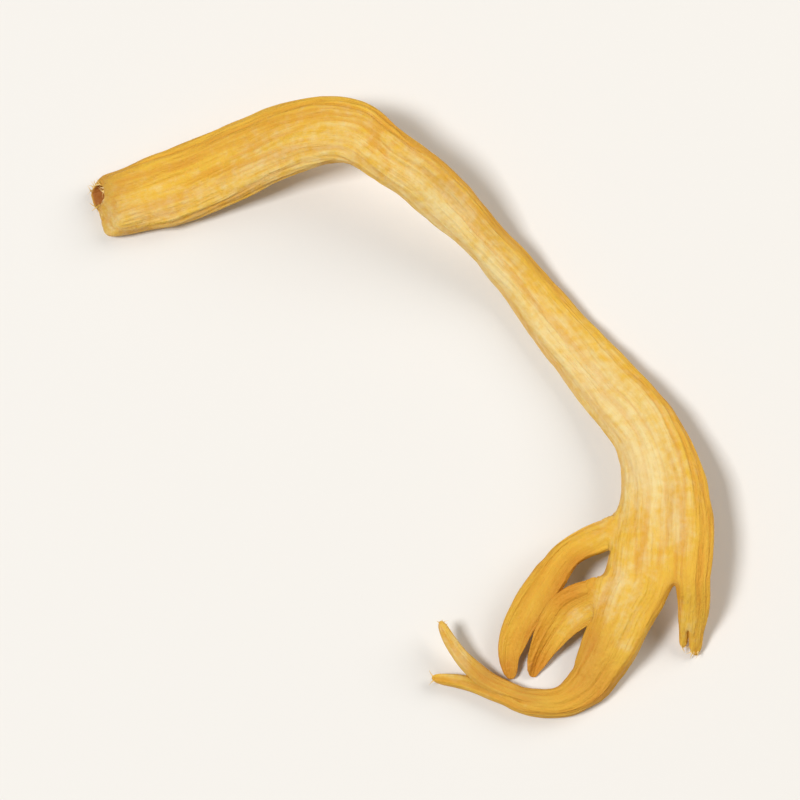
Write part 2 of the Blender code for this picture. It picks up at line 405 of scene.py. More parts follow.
def grow(here, there, station, sideways=False):
    """Extrudes the selected section from one place to the next, and gives it the station's size."""
    step = there.translation - here.translation
    bpy.ops.mesh.extrude_region_move(TRANSFORM_OT_translate={"value": step})
    turn_chosen(here, there)
    middle, span = chosen_span(there)
    bpy.ops.transform.translate(value=there.to_3x3() @ -middle)
    across_share = station.width * WIDTH_GAIN / span.x
    rise_share = station.thick * THICK_GAIN / span.z
    size_chosen(there, across_share, 0.0 if span.y > FLAT else 1.0, rise_share)
    carry_grain(step.length, across_share, min(rise_share, 1.0) if sideways else rise_share, sideways)


def fold_chosen(place, depth):
    """Presses a groove into the upper side of the selected section."""
    middle, span = chosen_span(place)
    for vert in chosen_verts():
        spot = place.inverted() @ vert.co - middle
        if spot.z > 0 and abs(spot.x) < FOLD_REACH * span.x:
            vert.co -= place.to_3x3() @ Vector((0, 0, depth * span.z))


def shift_chosen(place, share):
    """Shifts the middle of the selected section to its left, by a share of half its width."""
    middle, span = chosen_span(place)
    back, half = place.inverted(), span.x / 2
    for vert in chosen_verts():
        across = ((back @ vert.co).x - middle.x) / half
        vert.co -= place.to_3x3() @ Vector((share * half * (1 - across**2), 0, 0))


def grow_lobe(root_place, stations, tip=True, sideways=False):
    """Grows a lobe out of the selected faces, through its stations, to a rounded tip."""
    middle, span = chosen_span(root_place)
    start = root_place @ middle
    root = Station(*start, span.x / WIDTH_GAIN, span.z / THICK_GAIN, 0)
    run = smooth_run([root, *in_metres(stations)], LOBE_SPACING)
    near = Vector(run[0][:3]).lerp(Vector(run[1][:3]), ROOT_STEP)
    mixed = (a + (b - a) * ROOT_STEP for a, b in zip(run[0][3:], run[1][3:]))
    run.insert(1, Station(*near, *mixed))
    places = places_along(run, first=root_place.to_3x3() @ AHEAD)
    places[0] = Matrix.Translation(start) @ root_place.to_3x3().to_4x4()
    for number in range(1, len(run)):
        grow(places[number - 1], places[number], run[number], sideways and number == 1)
        if sideways and number == 2:
            fold_chosen(places[number], LOBE_FOLD)
    if not tip:
        return places[-1]
    end, place = run[-1], places[-1]
    for reach, share in TIP_STEPS:
        beyond = place @ Matrix.Translation((0, reach * end.width, 0))
        grow(place, beyond, end._replace(width=end.width * share, thick=end.thick * share))
        place = beyond
    return place


def add_foot(place, run):
    """The first stretch of the stalk: a box, cut into columns and rows and rounded to a section."""
    station, length = run[0], math.dist(run[0][:3], run[1][:3])
    bpy.ops.object.select_all(action="DESELECT")
    bpy.ops.mesh.primitive_cube_add(
        size=1,
        location=place @ (AHEAD * length / 2),
        rotation=place.to_euler(),
        scale=(station.width * WIDTH_GAIN, length, station.thick * THICK_GAIN),
    )
    piece = bpy.context.object
    piece.name = piece.data.name = "fruiting_body"
    bpy.ops.object.transform_apply(location=True, rotation=True, scale=True)
    bpy.ops.object.mode_set(mode="EDIT")
    back = place.inverted()

    def runs_along(edge, axis):
        way = back.to_3x3() @ (edge.verts[1].co - edge.verts[0].co)
        return abs(way[axis]) > way.length / 2

    choose(lambda edge: runs_along(edge, 0), "edges")
    bpy.ops.mesh.subdivide(number_cuts=COLUMNS - 1)
    choose(lambda edge: runs_along(edge, 2), "edges")
    bpy.ops.mesh.subdivide(number_cuts=ROWS - 1)
    half = station.width * WIDTH_GAIN / 2
    for column, share in enumerate(COLUMN_SHARES):
        across = half * (2 * column / COLUMNS - 1)
        choose(lambda vert, at=across: abs((back @ vert.co).x - at) < half / COLUMNS, "verts")
        size_chosen(place, 1, 1, share)
    mesh = edited()
    grain = mesh.verts.layers.float_vector.new("grain")
    girth = mesh.verts.layers.float.new("girth")
    for vert in mesh.verts:
        across, along, rise = (back @ vert.co) / MM
        vert[grain] = Vector((along, across, rise))
        vert[girth] = 1.0
    bmesh.update_edit_mesh(piece.data)
    return piece


def mark_torn(mark):
    """Marks how torn the selected corners are, and leaves the others as they are."""
    mesh = edited()
    torn = mesh.verts.layers.float.get("torn") or mesh.verts.layers.float.new("torn")
    for vert in mesh.verts:
        if vert.select:
            vert[torn] = mark
    bmesh.update_edit_mesh(bpy.context.edit_object.data)


def tear_foot(place):
    """Rounds the foot's end off, slants it back, and opens a hollow with raised lips at its left."""
    back, turn = place.inverted(), place.to_3x3()
    choose(lambda face: abs((back @ face.calc_center_median()).y) < ON_PLANE)
    bpy.ops.mesh.inset(thickness=END_ROUND * MM, depth=0)
    for vert in chosen_verts():
        vert.co -= turn @ (AHEAD * END_BULGE * MM)
    end = {face.index for face in edited().faces if face.select}
    for vert in edited().verts:
        spot = back @ vert.co
        if spot.y < ON_PLANE:
            vert.co += turn @ (AHEAD * FOOT_SLANT * spot.z)
    choose(lambda face: face.index in end and (back @ face.calc_center_median()).x < PIT_SIDE * MM)
    bpy.ops.mesh.inset(thickness=LIP_WIDTH * MM, depth=0)
    middle, _ = chosen_span(place)
    for vert in chosen_verts():
        spot = back @ vert.co - middle
        angle = math.atan2(spot.z, spot.x)
        rag = sum(height * math.sin(count * angle + start) for height, count, start in LIP_WAVES)
        vert.co -= turn @ (AHEAD * (LIP_RISE + LIP_RAG * rag) * MM)
        vert.co.z = max(vert.co.z, PIT_LIFT * MM)
    mark_torn(TORN_LIP)
    for depth, share in PIT_STEPS:
        inward = turn @ (AHEAD * depth * MM)
        bpy.ops.mesh.extrude_region_move(TRANSFORM_OT_translate={"value": inward})
        middle, _ = chosen_span(place)
        size_chosen(Matrix.Translation(place @ middle) @ turn.to_4x4(), share, 1, share)
        mark_torn(TORN_PIT)


def choose_columns(palm, first, last):
    """Picks the faces at the palm's end from one column to another, counted from its left edge."""
    back = palm.inverted()
    half = STALK[-1].width * MM * WIDTH_GAIN / 2
    column = 2 * half / COLUMNS

    def test(face):
        centre = back @ face.calc_center_median()
        at = (centre.x + half) / column
        return abs(centre.y) < ON_PLANE and abs(centre.x) < half and first < at < last

    choose(test)


def choose_edge_faces(root, way, reach):
    """Picks the faces about the root that look out of the body's edge, and gives the root's place."""
    root, way = (root - MIDDLE) * MM, way.normalized()
    side = way.cross(UP).normalized()

    def test(face):
        off = face.calc_center_median() - root
        near = abs(off.dot(side)) < reach * MM and abs(off.dot(way)) < ROOT_DEPTH * MM
        return near and face.normal.dot(way) > ROOT_FACING

    choose(test)
    return place_at(root, way)


def split_end(place, share):
    """Tests for the end's faces on the left and on the right of a share of its width."""
    back = place.inverted()
    _, span = chosen_span(place)

    def test(face, left):
        centre = back @ face.calc_center_median()
        inside = abs(centre.y) < ON_PLANE and abs(centre.x) < span.x
        return inside and (centre.x < share * span.x / 2) == left

    return (lambda face: test(face, True)), (lambda face: test(face, False))


def round_shoulders():
    """Evens the corners out where a lobe leaves the body."""
    for x, y, reach in SHOULDERS:
        spot = (Vector((x, y, 0)) - MIDDLE) * MM
        choose(lambda vert, at=spot, far=reach * MM: (vert.co - at).to_2d().length < far, "verts")
        bpy.ops.mesh.vertices_smooth(factor=0.5, repeat=2)


def add_stalk():
    """The stalk, with the places of its foot and of the palm's end, which is left selected."""
    run = smooth_run(in_metres(STALK), STALK_SPACING)
    places = places_along(run, last=DOWN_PALM)
    piece = add_foot(places[0], run)
    back, length = places[0].inverted(), math.dist(run[0][:3], run[1][:3])
    choose(lambda face: (back @ face.calc_center_median()).y > length - ON_PLANE)
    turn_chosen(places[0], places[1])
    for number in range(2, len(run)):
        grow(places[number - 1], places[number], run[number])
        shift_chosen(places[number], FORK_SHIFT.get(len(run) - number, 0.0))
    return piece, places[0], places[-1]


def add_palm_lobes(palm):
    """The prong and the broad lobe, each parting in two. Gives their frayed tips, with their fibres."""
    choose_columns(palm, 0, PRONG_COLUMNS)
    prong = grow_lobe(palm, RIGHT_PRONG, tip=False)
    outer, inner = split_end(prong, PRONG_SPLIT)
    choose(outer)
    tips = [(grow_lobe(prong, OUTER_POINT), OUTER_FIBRES)]
    choose(inner)
    tips.append((grow_lobe(prong, INNER_POINT), INNER_FIBRES))

    choose_columns(palm, PRONG_COLUMNS, COLUMNS)
    fork = grow_lobe(palm, BROAD_LOBE, tip=False)
    outer, inner = split_end(fork, TAIL_SPLIT)
    choose(outer)
    tips.append((grow_lobe(fork, TAIL_POINT), TAIL_FIBRES))
    choose(inner)
    tips.append((grow_lobe(fork, TAIL), TAIL_FIBRES))
    return tips


def add_side_lobes():
    """The two lobes on the inner edge."""
    side = choose_edge_faces(UPPER_ROOT, UPPER_WAY, UPPER_REACH)
    grow_lobe(side, UPPER_SIDE_LOBE, sideways=True)
    side = choose_edge_faces(INNER_ROOT, INNER_WAY, INNER_REACH)
    grow_lobe(side, INNER_SIDE_LOBE, sideways=True)


def add_skin():
    """The whole skin before it is subdivided, and its frayed tips with the fibres that each has."""
    piece, foot, palm = add_stalk()
    tips = add_palm_lobes(palm)
    add_side_lobes()
    round_shoulders()
    tear_foot(foot)
    bpy.ops.mesh.select_all(action="SELECT")
    bpy.ops.mesh.normals_make_consistent(inside=False)
    bpy.ops.object.mode_set(mode="OBJECT")
    return piece, tips


def spot_strength(point, spots):
    """How strong the spots are at the point, together."""
    return sum(
        amount * math.exp(-(((point.x / MM - x) ** 2 + (point.y / MM - y) ** 2) / radius**2))
        for x, y, radius, amount in spots
    )


def mark_skin(piece):
    """Keeps on each corner how pale the skin is, with its painted highlight and shade, how much it is
    darkened and dulled by painted shade, how much reddish-brown shade is painted on it, and how much a
    bend creases it.
    """
    points = [vert.co for vert in piece.data.vertices]
    marks = {
        "pale": [spot_strength(p, PALE_AND_HIGHLIGHT_SPOTS) - spot_strength(p, DARK_AND_SHADE_SPOTS) for p in points],
        "dull": [spot_strength(p, DULL_SHADE_SPOTS) for p in points],
        "rust": [spot_strength(p, REDDISH_SHADE_SPOTS) for p in points],
        "bend": [min(1.0, spot_strength(p, BENT_SPOTS)) for p in points],
    }
    for name, values in marks.items():
        piece.data.attributes.new(name, "FLOAT", "POINT").data.foreach_set("value", values)
    girth, torn = piece.data.attributes["girth"].data, piece.data.attributes["torn"].data
    for number, grain in enumerate(piece.data.attributes["grain"].data):
        near_rim = min(1.0, max(RIM_WRINKLES, grain.vector.x / FOOT_CALM))
        girth[number].value *= TORN_WRINKLES if torn[number].value else near_rim


def add_fibre():
    """One torn fibre, a millimetre long: a thin cone with its point bent over."""
    bpy.ops.object.select_all(action="DESELECT")
    bpy.ops.mesh.primitive_cone_add(
        vertices=FIBRE_SIDES,
        radius1=FIBRE_THICK * MM,
        radius2=FIBRE_THIN * MM,
        depth=MM,
        location=(0, 0, MM / 2),
    )
    fibre = bpy.context.object
    bpy.ops.object.transform_apply(location=True, rotation=True, scale=True)
    bpy.ops.object.mode_set(mode="EDIT")
    choose(lambda edge: abs(edge.verts[1].co.z - edge.verts[0].co.z) > MM / 2, "edges")
    bpy.ops.mesh.subdivide(number_cuts=FIBRE_RINGS - 1)
    for ring in range(1, FIBRE_RINGS + 1):
        share = ring / FIBRE_RINGS
        choose(lambda vert, at=share * MM: abs(vert.co.z - at) < MM / (4 * FIBRE_RINGS), "verts")
        bpy.ops.transform.translate(value=(FIBRE_BEND * MM * share**2, 0, 0))
    bpy.ops.object.mode_set(mode="OBJECT")
    bpy.ops.object.shade_smooth()
    return fibre


def drawn_verts(verts, count, random_draw):
    """Draws corners by their place, because their order in the mesh differs from run to run."""
    low = [min(vert.co[axis] for vert in verts) for axis in range(3)]
    high = [max(vert.co[axis] for vert in verts) for axis in range(3)]
    picked = []
    for _ in range(count):
        aim = Vector([random_draw.uniform(a, b) for a, b in zip(low, high)])
        picked.append(min(verts, key=lambda vert, at=aim: (vert.co - at).length))
    return picked


def fibre_roots(piece, tips, random_draw):
    """Where fibres stand on the torn lips and on frayed tips, with the way and length of each."""
    torn = piece.data.attributes["torn"].data
    verts = [vert for vert in piece.data.vertices if vert.co.z > FIBRE_LOWEST * MM]
    lips = [vert for vert in verts if LIP_MARKS[0] < torn[vert.index].value < LIP_MARKS[1]]
    chosen = [(vert, OUT_OF_FOOT) for vert in drawn_verts(lips, FOOT_FIBRES, random_draw)]
    for place, count in tips:
        near = [vert for vert in verts if (vert.co - place.translation).length < FRAY_REACH * MM]
        way = place.to_3x3() @ AHEAD
        chosen += [(vert, way) for vert in drawn_verts(near, count, random_draw)]
    roots = []
    for vert, way in chosen:
        stray = Vector([random_draw.uniform(-FIBRE_STRAY, FIBRE_STRAY) for _ in range(3)])
        root = vert.co - vert.normal * FIBRE_ROOT * MM
        heading = way + vert.normal * FIBRE_SPREAD + stray
        heading.z = max(heading.z, 0.0)
        roots.append((root, heading, random_draw.uniform(FIBRE_SHORTEST, FIBRE_LONGEST)))
    return roots


def add_fibres(roots, random_draw):
    """A copy of the fibre at each root, all joined to one piece."""
    fibre = add_fibre()
    copies = []
    for root, way, length in roots:
        copy = fibre.copy()
        copy.data = fibre.data.copy()
        bpy.context.collection.objects.link(copy)
        turn = way.to_track_quat("Z", "Y") @ Quaternion(UP, random_draw.uniform(0, math.tau))
        copy.matrix_world = Matrix.LocRotScale(root, turn, Vector((1, 1, length)))
        copies.append(copy)
    bpy.data.objects.remove(fibre)
    bpy.ops.object.select_all(action="DESELECT")
    for copy in copies:
        copy.select_set(True)
    bpy.context.view_layer.objects.active = copies[0]
    bpy.ops.object.join()
    piece = bpy.context.object
    piece.name = piece.data.name = "torn_fibres"
    bpy.ops.object.transform_apply(location=True, rotation=True, scale=True)
    return piece


def add_node(tree, kind, feeds=None, **settings):
    """A node with its settings, each input given a value or the socket that feeds it."""
    made = tree.nodes.new(kind)
    for name, value in settings.items():
        setattr(made, name, value)
    for name, value in (feeds or {}).items():
        if isinstance(value, bpy.types.NodeSocket):
            tree.links.new(value, made.inputs[name])
        else:
            made.inputs[name].default_value = value
    return made


def sums(tree, operation, *values):
    """The value that a math node gives."""
    return add_node(tree, "ShaderNodeMath", dict(enumerate(values)), operation=operation).outputs[0]


def vectors(tree, operation, *values):
    """The vector that a vector math node gives."""
    feeds = dict(enumerate(values))
    return add_node(tree, "ShaderNodeVectorMath", feeds, operation=operation).outputs[0]


def added(tree, start, *terms):
    """A start value with so much of each further value added to it."""
    for value, amount in terms:
        start = sums(tree, "MULTIPLY_ADD", value, amount, start)
    return start


def ranged(tree, value, low, high, to_low=0.0, to_high=1.0):
    """A value eased from one range to another, and held beyond its ends."""
    feeds = {"Value": value, "From Min": low, "From Max": high, "To Min": to_low, "To Max": to_high}
    return add_node(tree, "ShaderNodeMapRange", feeds, interpolation_type="SMOOTHSTEP").outputs[0]


def noise(tree, vector, scale=1.0, detail=1.0, roughness=0.5):
    """Noise about 0.5, as a value and as a colour."""
    feeds = {"Vector": vector, "Scale": scale, "Detail": detail, "Roughness": roughness}
    return add_node(tree, "ShaderNodeTexNoise", feeds).outputs


def split_vector(tree, vector):
    """The X, Y and Z of a vector."""
    return add_node(tree, "ShaderNodeSeparateXYZ", {0: vector}).outputs


def stretched_noise(tree, grain, along, across, start):
    """Noise drawn out along the grain."""
    waves, offset = (along, across, across), (start, start * 2, -start)
    return noise(tree, vectors(tree, "MULTIPLY_ADD", grain, waves, offset))[0]


def furrow_lines(tree, grain, furrows):
    """1 at the bottom of a furrow, falling to 0 on the ridges beside it."""
    waves = stretched_noise(tree, grain, furrows.along, furrows.across, furrows.start)
    off = sums(tree, "ABSOLUTE", sums(tree, "SUBTRACT", waves, 0.5))
    return ranged(tree, off, 0.0, furrows.width, 1.0, 0.0)


def relief(tree, grain, girth, bend):
    """How far the skin rises, in metres, and how much shade is painted into its furrows."""
    lumps = sums(tree, "SUBTRACT", stretched_noise(tree, grain, *LUMPS), 0.5)
    ribs = sums(tree, "SUBTRACT", stretched_noise(tree, grain, *RIBS), 0.5)
    rise = added(tree, sums(tree, "MULTIPLY", lumps, SWELL), (ribs, SWELL))
    dark = 0.0
    kinds = ((MAIN_FURROWS, 1.0), (FINE_FURROWS, 1.0), (FINEST_FURROWS, 1.0), (BEND_CREASES, bend))
    for furrows, share in kinds:
        lines = sums(tree, "MULTIPLY", furrow_lines(tree, grain, furrows), share)
        rise = added(tree, rise, (lines, -furrows.depth))
        dark = added(tree, dark, (lines, furrows.dark))
    return sums(tree, "MULTIPLY", rise, sums(tree, "MULTIPLY", girth, MM)), dark


def wrinkle_tree():
    """Geometry nodes that raise the wrinkles, let the skin sway, and lay it on the surface."""
    tree = bpy.data.node_groups.new("wrinkles", "GeometryNodeTree")
    tree.interface.new_socket("Geometry", in_out="INPUT", socket_type="NodeSocketGeometry")
    tree.interface.new_socket("Geometry", in_out="OUTPUT", socket_type="NodeSocketGeometry")
    skin = tree.nodes.new("NodeGroupInput").outputs[0]
    leave = tree.nodes.new("NodeGroupOutput")

    def kept(name, kind="FLOAT"):
        node = add_node(tree, "GeometryNodeInputNamedAttribute", {"Name": name}, data_type=kind)
        return node.outputs["Attribute"]

    rise, dark = relief(tree, kept("grain", "FLOAT_VECTOR"), kept("girth"), kept("bend"))
    normal = add_node(tree, "GeometryNodeInputNormal").outputs["Normal"]
    move = add_node(tree, "ShaderNodeVectorMath", {0: normal, "Scale": rise}, operation="SCALE")
    spot = add_node(tree, "GeometryNodeInputPosition").outputs[0]
    stray = vectors(tree, "SUBTRACT", noise(tree, spot, SWAY_WAVES)["Color"], (0.5, 0.5, 0.5))
    sway = [share * MM for share in SWAY]
    moved = vectors(tree, "ADD", spot, vectors(tree, "MULTIPLY_ADD", stray, sway, move.outputs[0]))
    x, y, z = split_vector(tree, moved)
    lain = add_node(tree, "ShaderNodeCombineXYZ", {"X": x, "Y": y, "Z": sums(tree, "MAXIMUM", z, 0.0)})
    # Flanks and underside, where the normal turns away from up, which the skin's colour darkens to
    # amber as painted shade
    side = ranged(tree, split_vector(tree, normal)["Z"], SIDE_FACING, TOP_FACING, 1.0, 0.0)
    # Kept for the skin's colour: the shade painted into the furrows, and the flanks and underside
    # painted with shade
    for name, value in (("furrow", dark), ("side", side)):
        skin = add_node(
            tree,
            "GeometryNodeStoreNamedAttribute",
            {"Geometry": skin, "Name": name, "Value": value},
            data_type="FLOAT",
            domain="POINT",
        ).outputs[0]
    shaped = add_node(tree, "GeometryNodeSetPosition", {"Geometry": skin, "Position": lain.outputs[0]})
    tree.links.new(shaped.outputs[0], leave.inputs[0])
    return tree


def finish_skin(piece):
    """Subdivides the skin, wrinkles it and lays it on the surface."""
    smooth = piece.modifiers.new("smooth", "SUBSURF")
    smooth.levels = smooth.render_levels = SKIN_LEVELS
    bpy.ops.object.modifier_apply(modifier=smooth.name)
    wrinkles = piece.modifiers.new("wrinkles", "NODES")
    wrinkles.node_group = wrinkle_tree()
    bpy.ops.object.modifier_apply(modifier=wrinkles.name)
    bpy.ops.object.shade_smooth()


# Finishes

GOLDEN = (0.79, 0.475, 0.048, 1)
CREAM = (0.84, 0.67, 0.31, 1)
# Amber: the skin's own deeper tone, also painted on the flanks and underside as shade
AMBER = (0.68, 0.28, 0.022, 1)
# Painted shade in the furrows and in the reddish-brown spots
CREASE_SHADE = (0.60, 0.20, 0.012, 1)
# Painted shade at the foot and where the broad lobe curls
DULL_SHADE = (0.55, 0.30, 0.05, 1)
# Painted shade in the foot's hollow
HOLLOW_SHADE = (0.42, 0.14, 0.02, 1)
PALE_FIBRE = (0.90, 0.70, 0.36, 1)

# Streaks: how many waves along and across, in a millimetre of the grain or a metre of a fibre's
# coordinates, and how much of their noise on each side of 0.5 is drawn out to the full range
BROAD_STREAKS = {"Along": 0.09, "Across": 1.1, "Contrast": 0.22}
THIN_STREAKS = {"Along": 0.3, "Across": 5.5, "Contrast": 0.26}
FIBRE_STREAKS = {"Along": 1500.0, "Across": 3500.0, "Contrast": 0.2}
MOTTLE_WAVES, SPECK_WAVES = 420, 1900  # a metre
MOTTLE_MIDDLE, SPECK_MIDDLE = 0.42, 0.52  # where their noise neither adds nor takes away
SKIN_GRIT, FIBRE_GRIT = 0.00022, 0.0001  # metres

# How pale the skin is: where across the grain, in millimetres, or on the torn mark, and how much.
# The inner edge is made paler, partly its own tone and partly painted highlight, and the outer edge
# darker with painted shade.
LIP_FROM, LIP_TO, LIP_PALER = (0.1, 0.45), (0.5, 0.7), 0.5
INNER_EDGE, INNER_TONE_AND_HIGHLIGHT = (-0.4, 1.6), 0.25
OUTER_EDGE, OUTER_SHADE = (-0.3, -2.2), 0.35

# How the colours mix. Cream starts and ends at a paleness, to which streaks and specks add, and
# amber is what is not pale, with mottling and the gaps between streaks added.
CREAM_START, CREAM_END = 0.1, 1.1
BROAD_CREAM, THIN_CREAM, SPECK_CREAM = 0.25, 0.2, 1.2
MOTTLE_AMBER, GAP_AMBER, MOST_AMBER = 0.7, 0.4, 0.7
# Painted shade on the flanks and underside, in amber, stronger on the outer side
FLANK_TURN = (-0.6, 0.6)  # across the grain, from the outer flank to the inner one
OUTER_FLANK_SHADE, INNER_FLANK_SHADE = 0.55, 0.2
# Painted shade in the furrows, as well as their depth
FURROW_SHADE = (0.2, 1.1)  # from a faint furrow to a dark one
CREASE_TURN = (0.1, 0.8)  # from darker skin, where a furrow shows most, to pale skin
DARK_CREASE, PALE_CREASE = 0.42, 0.2
# Painted reddish-brown shade, in the furrows' shade colour, at its spots' strongest
MOST_REDDISH_SHADE = 0.75
# Painted shade in the foot's hollow, by the torn mark
HOLLOW_SHADE_FROM = (0.5, 0.85)  # on the torn mark
SKIN_ROUGHNESS, STREAK_ROUGHNESS = 0.56, 0.12
GRIT_HEIGHT, STREAK_HEIGHT = 0.6, 0.5


def new_group(name, inputs, outputs):
    """An empty shader group with its sockets. Each has a kind, and an input has a start value too."""
    tree = bpy.data.node_groups.new(name, "ShaderNodeTree")
    for socket, (kind, value) in inputs.items():
        made = tree.interface.new_socket(socket, in_out="INPUT", socket_type=kind)
        if value is not None:
            made.default_value = value
    for socket, kind in outputs.items():
        tree.interface.new_socket(socket, in_out="OUTPUT", socket_type=kind)
    return tree, tree.nodes.new("NodeGroupInput").outputs, tree.nodes.new("NodeGroupOutput").inputs


def streak_group():
    """Fine streaks along the fibres."""
    tree, given, leave = new_group(
        "fibre_streaks",
        {
            "Grain": ("NodeSocketVector", None),
            "Along": ("NodeSocketFloat", 0.1),
            "Across": ("NodeSocketFloat", 2.0),
            "Contrast": ("NodeSocketFloat", 0.2),
        },
        {"Streaks": "NodeSocketFloat"},
    )
    waves = {"X": given["Along"], "Y": given["Across"], "Z": given["Across"]}
    waves = add_node(tree, "ShaderNodeCombineXYZ", waves).outputs[0]
    scaled = vectors(tree, "MULTIPLY", given["Grain"], waves)
    low = sums(tree, "SUBTRACT", 0.5, given["Contrast"])
    high = sums(tree, "ADD", 0.5, given["Contrast"])
    streaks = ranged(tree, noise(tree, scaled, detail=3.0, roughness=0.6)[0], low, high)
    tree.links.new(streaks, leave["Streaks"])
    return tree


def grit_group():
    """The fine, dry grain of the surface."""
    tree, given, leave = new_group(
        "dry_grit",
        {"Vector": ("NodeSocketVector", None), "Size": ("NodeSocketFloat", 0.00015)},
        {"Height": "NodeSocketFloat"},
    )
    scale = sums(tree, "DIVIDE", 1.0, given["Size"])
    rough = noise(tree, given["Vector"], scale, detail=3.0, roughness=0.65)[0]
    cells = add_node(tree, "ShaderNodeTexVoronoi", {"Vector": given["Vector"], "Scale": scale})
    tree.links.new(added(tree, rough, (cells.outputs["Distance"], -0.5)), leave["Height"])
    return tree


STREAKS = streak_group()
GRIT = grit_group()


def grouped(tree, group, feeds):
    """What a group gives in this material."""
    return add_node(tree, "ShaderNodeGroup", feeds, node_tree=group).outputs


def blended(tree, share, below, above):
    """One colour blended into another."""
    return add_node(tree, "ShaderNodeMix", {0: share, 6: below, 7: above}, data_type="RGBA").outputs[2]


def new_material(name):
    """A new material, with its node tree and its shader."""
    made = bpy.data.materials.new(name)
    made.use_nodes = True
    return made, made.node_tree, made.node_tree.nodes["Principled BSDF"]


def paleness_with_painted_light(tree, pale, torn, across):
    """The pale spots, with the lips made paler, the inner edge paler with its own tone and painted
    highlight, and the outer edge darker with painted shade.
    """
    lip = sums(tree, "SUBTRACT", ranged(tree, torn, *LIP_FROM), ranged(tree, torn, *LIP_TO))
    # Painted highlight, with some of the skin's own paler tone, along the inner edge, and painted shade
    # along the outer edge
    inner, outer = ranged(tree, across, *INNER_EDGE), ranged(tree, across, *OUTER_EDGE)
    return added(tree, pale, (lip, LIP_PALER), (inner, INNER_TONE_AND_HIGHLIGHT), (outer, -OUTER_SHADE))


def skin_colour(tree, kept, pale, across, broad, thin, coordinates):
    """Golden skin, creamy where it is pale or painted with highlight, amber with painted shade on its
    flanks, and painted shade in its furrows and its foot's hollow.
    """
    specks = noise(tree, coordinates, SPECK_WAVES, detail=3.0)[0]
    specks = sums(tree, "SUBTRACT", specks, SPECK_MIDDLE)
    cream = sums(tree, "SUBTRACT", pale, CREAM_START)
    cream = added(tree, cream, (broad, BROAD_CREAM), (thin, THIN_CREAM), (specks, SPECK_CREAM))
    colour = blended(tree, ranged(tree, cream, 0.0, CREAM_END), GOLDEN, CREAM)

    mottle = noise(tree, coordinates, MOTTLE_WAVES, detail=3.0)[0]
    mottle = sums(tree, "SUBTRACT", mottle, MOTTLE_MIDDLE)
    gaps = sums(tree, "SUBTRACT", 0.5, broad)
    amber = sums(tree, "MULTIPLY", pale, -1.0)
    amber = added(tree, amber, (mottle, MOTTLE_AMBER), (gaps, GAP_AMBER))
    # Painted shade on the flanks and underside, stronger on the outer side
    flank_shade = ranged(tree, across, *FLANK_TURN, OUTER_FLANK_SHADE, INNER_FLANK_SHADE)
    flank_shade = sums(tree, "MULTIPLY", kept("side"), flank_shade)
    amber = sums(tree, "MAXIMUM", ranged(tree, amber, 0.0, 1.0), flank_shade)
    colour = blended(tree, sums(tree, "MULTIPLY", amber, MOST_AMBER), colour, AMBER)
    # Painted shade, darker and duller, at the foot and where the broad lobe curls
    colour = blended(tree, kept("dull"), colour, DULL_SHADE)

    # Painted shade in the furrows, more on darker skin, and reddish-brown painted shade at its spots
    crease_shade = ranged(tree, pale, *CREASE_TURN, DARK_CREASE, PALE_CREASE)
    crease_shade = sums(tree, "MULTIPLY", ranged(tree, kept("furrow"), *FURROW_SHADE), crease_shade)
    crease_shade = sums(tree, "MAXIMUM", crease_shade, sums(tree, "MULTIPLY", kept("rust"), MOST_REDDISH_SHADE))
    colour = blended(tree, crease_shade, colour, CREASE_SHADE)
    # Painted shade in the foot's hollow
    return blended(tree, ranged(tree, kept("torn"), *HOLLOW_SHADE_FROM), colour, HOLLOW_SHADE)


def skin_material():
    """Dry skin, matt and streaked along its grain, that lets a little light in."""
    made, tree, shader = new_material("dried_skin")

    def kept(name, output="Fac"):
        return add_node(tree, "ShaderNodeAttribute", attribute_name=name).outputs[output]

    grain = kept("grain", "Vector")
    across = split_vector(tree, grain)["Y"]
    coordinates = add_node(tree, "ShaderNodeTexCoord").outputs["Object"]
    broad = grouped(tree, STREAKS, {"Grain": grain, **BROAD_STREAKS})["Streaks"]
    thin = grouped(tree, STREAKS, {"Grain": grain, **THIN_STREAKS})["Streaks"]
    pale = paleness_with_painted_light(tree, kept("pale"), kept("torn"), across)
    colour = skin_colour(tree, kept, pale, across, broad, thin, coordinates)
    tree.links.new(colour, shader.inputs["Base Color"])
    rough = added(tree, SKIN_ROUGHNESS, (thin, STREAK_ROUGHNESS))
    tree.links.new(rough, shader.inputs["Roughness"])
    shader.inputs["Specular IOR Level"].default_value = 0.28
    shader.inputs["Subsurface Weight"].default_value = 0.08
    shader.inputs["Subsurface Radius"].default_value = (1.0, 0.45, 0.15)
    shader.inputs["Subsurface Scale"].default_value = 0.0002

    grit = grouped(tree, GRIT, {"Vector": coordinates, "Size": SKIN_GRIT})["Height"]
    height = added(tree, 0.0, (grit, GRIT_HEIGHT), (thin, STREAK_HEIGHT))
    bump = add_node(tree, "ShaderNodeBump", {"Height": height, "Strength": 0.7, "Distance": 0.00014})
    tree.links.new(bump.outputs[0], shader.inputs["Normal"])
    return made


def fibre_material():
    """Dry, pale fibres."""
    made, tree, shader = new_material("torn_fibres")
    coordinates = add_node(tree, "ShaderNodeTexCoord").outputs["Object"]
    streaks = grouped(tree, STREAKS, {"Grain": coordinates, **FIBRE_STREAKS})["Streaks"]
    tree.links.new(blended(tree, streaks, GOLDEN, PALE_FIBRE), shader.inputs["Base Color"])
    shader.inputs["Roughness"].default_value = 0.7
    grit = grouped(tree, GRIT, {"Vector": coordinates, "Size": FIBRE_GRIT})["Height"]
    bump = add_node(tree, "ShaderNodeBump", {"Height": grit, "Strength": 0.3, "Distance": 0.00003})
    tree.links.new(bump.outputs[0], shader.inputs["Normal"])
    return made


# The studio, in metres

